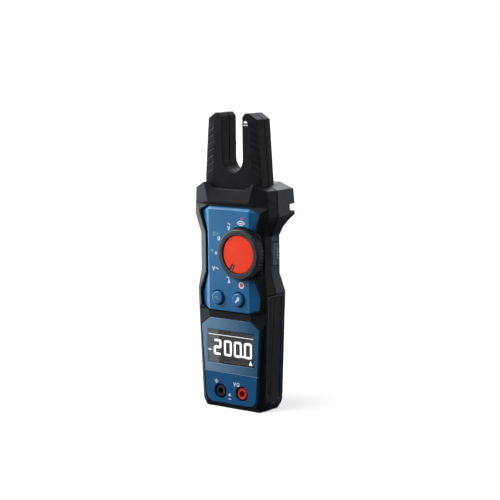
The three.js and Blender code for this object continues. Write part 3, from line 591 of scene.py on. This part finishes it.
screen = Print(glass_y - 0.02, 0.1)
middle = (DIGIT_LOW + DIGIT_HIGH) / 2
two = [(-DIGIT_HALF, DIGIT_HIGH), (DIGIT_HALF, DIGIT_HIGH), (DIGIT_HALF, middle), (-DIGIT_HALF, middle),
       (-DIGIT_HALF, DIGIT_LOW), (DIGIT_HALF, DIGIT_LOW)]
zero = [(-DIGIT_HALF, DIGIT_LOW), (DIGIT_HALF, DIGIT_LOW), (DIGIT_HALF, DIGIT_HIGH),
        (-DIGIT_HALF, DIGIT_HIGH)]
screen.stroke([(x - 12.6, z) for x, z in corners_rounded(two, 0.9)], PEN)
for centre in (-3.3, 5.6, 14.6):
    screen.stroke([(x + centre, z) for x, z in corners_rounded(zero, 1.2, closed=True)], PEN, closed=True)
screen.disc((10.1, DIGIT_LOW + 0.05), 0.8, 16)
screen.done("display_number", DIGITS)
small = Print(glass_y - 0.02, 0.08)
small.stroke([(-20.2, 40.6), (-18.4, 40.6)], 0.9)
small.stroke(letter_a(16.9, 34.3, 2.7), 0.55)
small.stroke([(16.2, 33.7), (17.6, 33.7)], 0.45)
small.stroke([(-21.2, 51.9), (19.4, 51.9)], 0.35)
small.done("display_unit_marks", DIGITS)


# ------------------------------------------------------------------ floor, light and camera
def stage_mesh(name, bm, paint):
    mesh = bpy.data.meshes.new(name)
    bm.to_mesh(mesh)
    bm.free()
    mesh.materials.append(paint)
    made = bpy.data.objects.new(name, mesh)
    bpy.context.scene.collection.objects.link(made)
    made.visible_diffuse = False
    made.visible_glossy = False
    return made


bm = bmesh.new()
bmesh.ops.create_circle(bm, cap_ends=True, radius=9.0, segments=96)
floor_paint = Paint("floor", 0.9)
floor = stage_mesh("floor", bm, floor_paint.colour((0.86, 0.86, 0.87), 0.005, 0.5).material)
floor.visible_shadow = False
bm = bmesh.new()
bmesh.ops.create_uvsphere(bm, u_segments=48, v_segments=24, radius=8.9)
bmesh.ops.reverse_faces(bm, faces=bm.faces)
backdrop = stage_mesh("backdrop", bm, glowing("backdrop", (1.0, 1.0, 1.0), 1.0))
backdrop.visible_shadow = False
backdrop.visible_transmission = False

world = bpy.data.worlds.new("studio")
world.use_nodes = True
world.node_tree.nodes["Background"].inputs["Color"].default_value = (0.75, 0.85, 1.0, 1)
world.node_tree.nodes["Background"].inputs["Strength"].default_value = 0.05
bpy.context.scene.world = world


not_floor = bpy.data.collections.new("all_but_the_floor")
not_floor.objects.link(floor)
not_floor.collection_objects[0].light_linking.link_state = "EXCLUDE"


def softbox(name, azimuth, height, distance, size, power, aim=(0, 0, 0.11), colour=(1, 1, 1)):
    """An area light round the object. Azimuth 0 is in front of it and 90 on its right."""
    turn = math.radians(azimuth)
    light = bpy.data.lights.new(name, "AREA")
    light.shape = "RECTANGLE"
    light.size, light.size_y = size
    light.energy = power
    light.color = colour
    lamp = bpy.data.objects.new(name, light)
    lamp.location = (distance * math.sin(turn), -distance * math.cos(turn), height)
    lamp.rotation_euler = (Vector(aim) - lamp.location).to_track_quat("-Z", "Y").to_euler()
    lamp.light_linking.receiver_collection = not_floor
    bpy.context.scene.collection.objects.link(lamp)
    return lamp


softbox("key", -66, 0.70, 0.75, (0.7, 0.5), 15.5)
softbox("fill", 10, 0.65, 0.85, (0.5, 0.5), 3.5)
softbox("left_edge", -91, 0.2, 1.0, (0.4, 0.8), 7.5, colour=(0.92, 0.96, 1.0))
softbox("behind", 205, 0.8, 1.5, (1.2, 0.7), 14.0, colour=(0.93, 0.96, 1.0))
softbox("right", 140, 0.3, 1.1, (0.8, 1.0), 3.0, colour=(0.9, 0.95, 1.0))
softbox("panel_glare", -57.6, -0.08, 0.45, (0.3, 0.3), 0.5, aim=(0, 0, -0.08))

spot = bpy.data.lights.new("dial_glow", "SPOT")
spot.energy = 11.0
spot.spot_size = math.radians(3.0)
spot.spot_blend = 1.0
spot.shadow_soft_size = 0.03
spot_lamp = bpy.data.objects.new("dial_glow", spot)
spot_lamp.location = (-0.66, -0.58, 0.06)
towards = Vector((-0.014, -0.015, 0.117)) - spot_lamp.location
spot_lamp.rotation_euler = towards.to_track_quat("-Z", "Y").to_euler()
bpy.context.scene.collection.objects.link(spot_lamp)

only_floor = bpy.data.collections.new("only_the_floor")
only_floor.objects.link(floor)
for name, energy, blocker in (("floor_light", 3.7, only_floor), ("floor_shadow", 1.6, None)):
    sun = bpy.data.lights.new(name, "SUN")
    sun.energy = energy
    sun.angle = math.radians(50)
    sun_lamp = bpy.data.objects.new(name, sun)
    sun_lamp.rotation_euler = (math.radians(25), math.radians(-20), 0)
    bpy.context.scene.collection.objects.link(sun_lamp)
    sun_lamp.light_linking.receiver_collection = only_floor
    sun_lamp.light_linking.blocker_collection = blocker

AZIMUTH, ELEVATION, ROLL = math.radians(38.16), math.radians(8.08), math.radians(-0.65)
DISTANCE = 1.1465
OFFSET = 0.0145        # how far the aim lies to the right of the axis
back = Vector((math.sin(AZIMUTH) * math.cos(ELEVATION), -math.cos(AZIMUTH) * math.cos(ELEVATION),
               math.sin(ELEVATION)))
level = Vector((math.cos(AZIMUTH), math.sin(AZIMUTH), 0))
upright = back.cross(level)
right = level * math.cos(ROLL) + upright * math.sin(ROLL)
up = upright * math.cos(ROLL) - level * math.sin(ROLL)
aim = Vector((0, PANEL_Y * MM, 0.1132)) + right * OFFSET
camera_data = bpy.data.cameras.new("camera")
camera_data.lens = 118.85
camera_data.clip_end = 60
camera = bpy.data.objects.new("camera", camera_data)
turn = Matrix((right, up, back)).transposed().to_4x4()
camera.matrix_world = Matrix.Translation(aim + back * DISTANCE) @ turn
bpy.context.scene.collection.objects.link(camera)
bpy.context.scene.camera = camera
bpy.context.scene.view_settings.view_transform = "Standard"
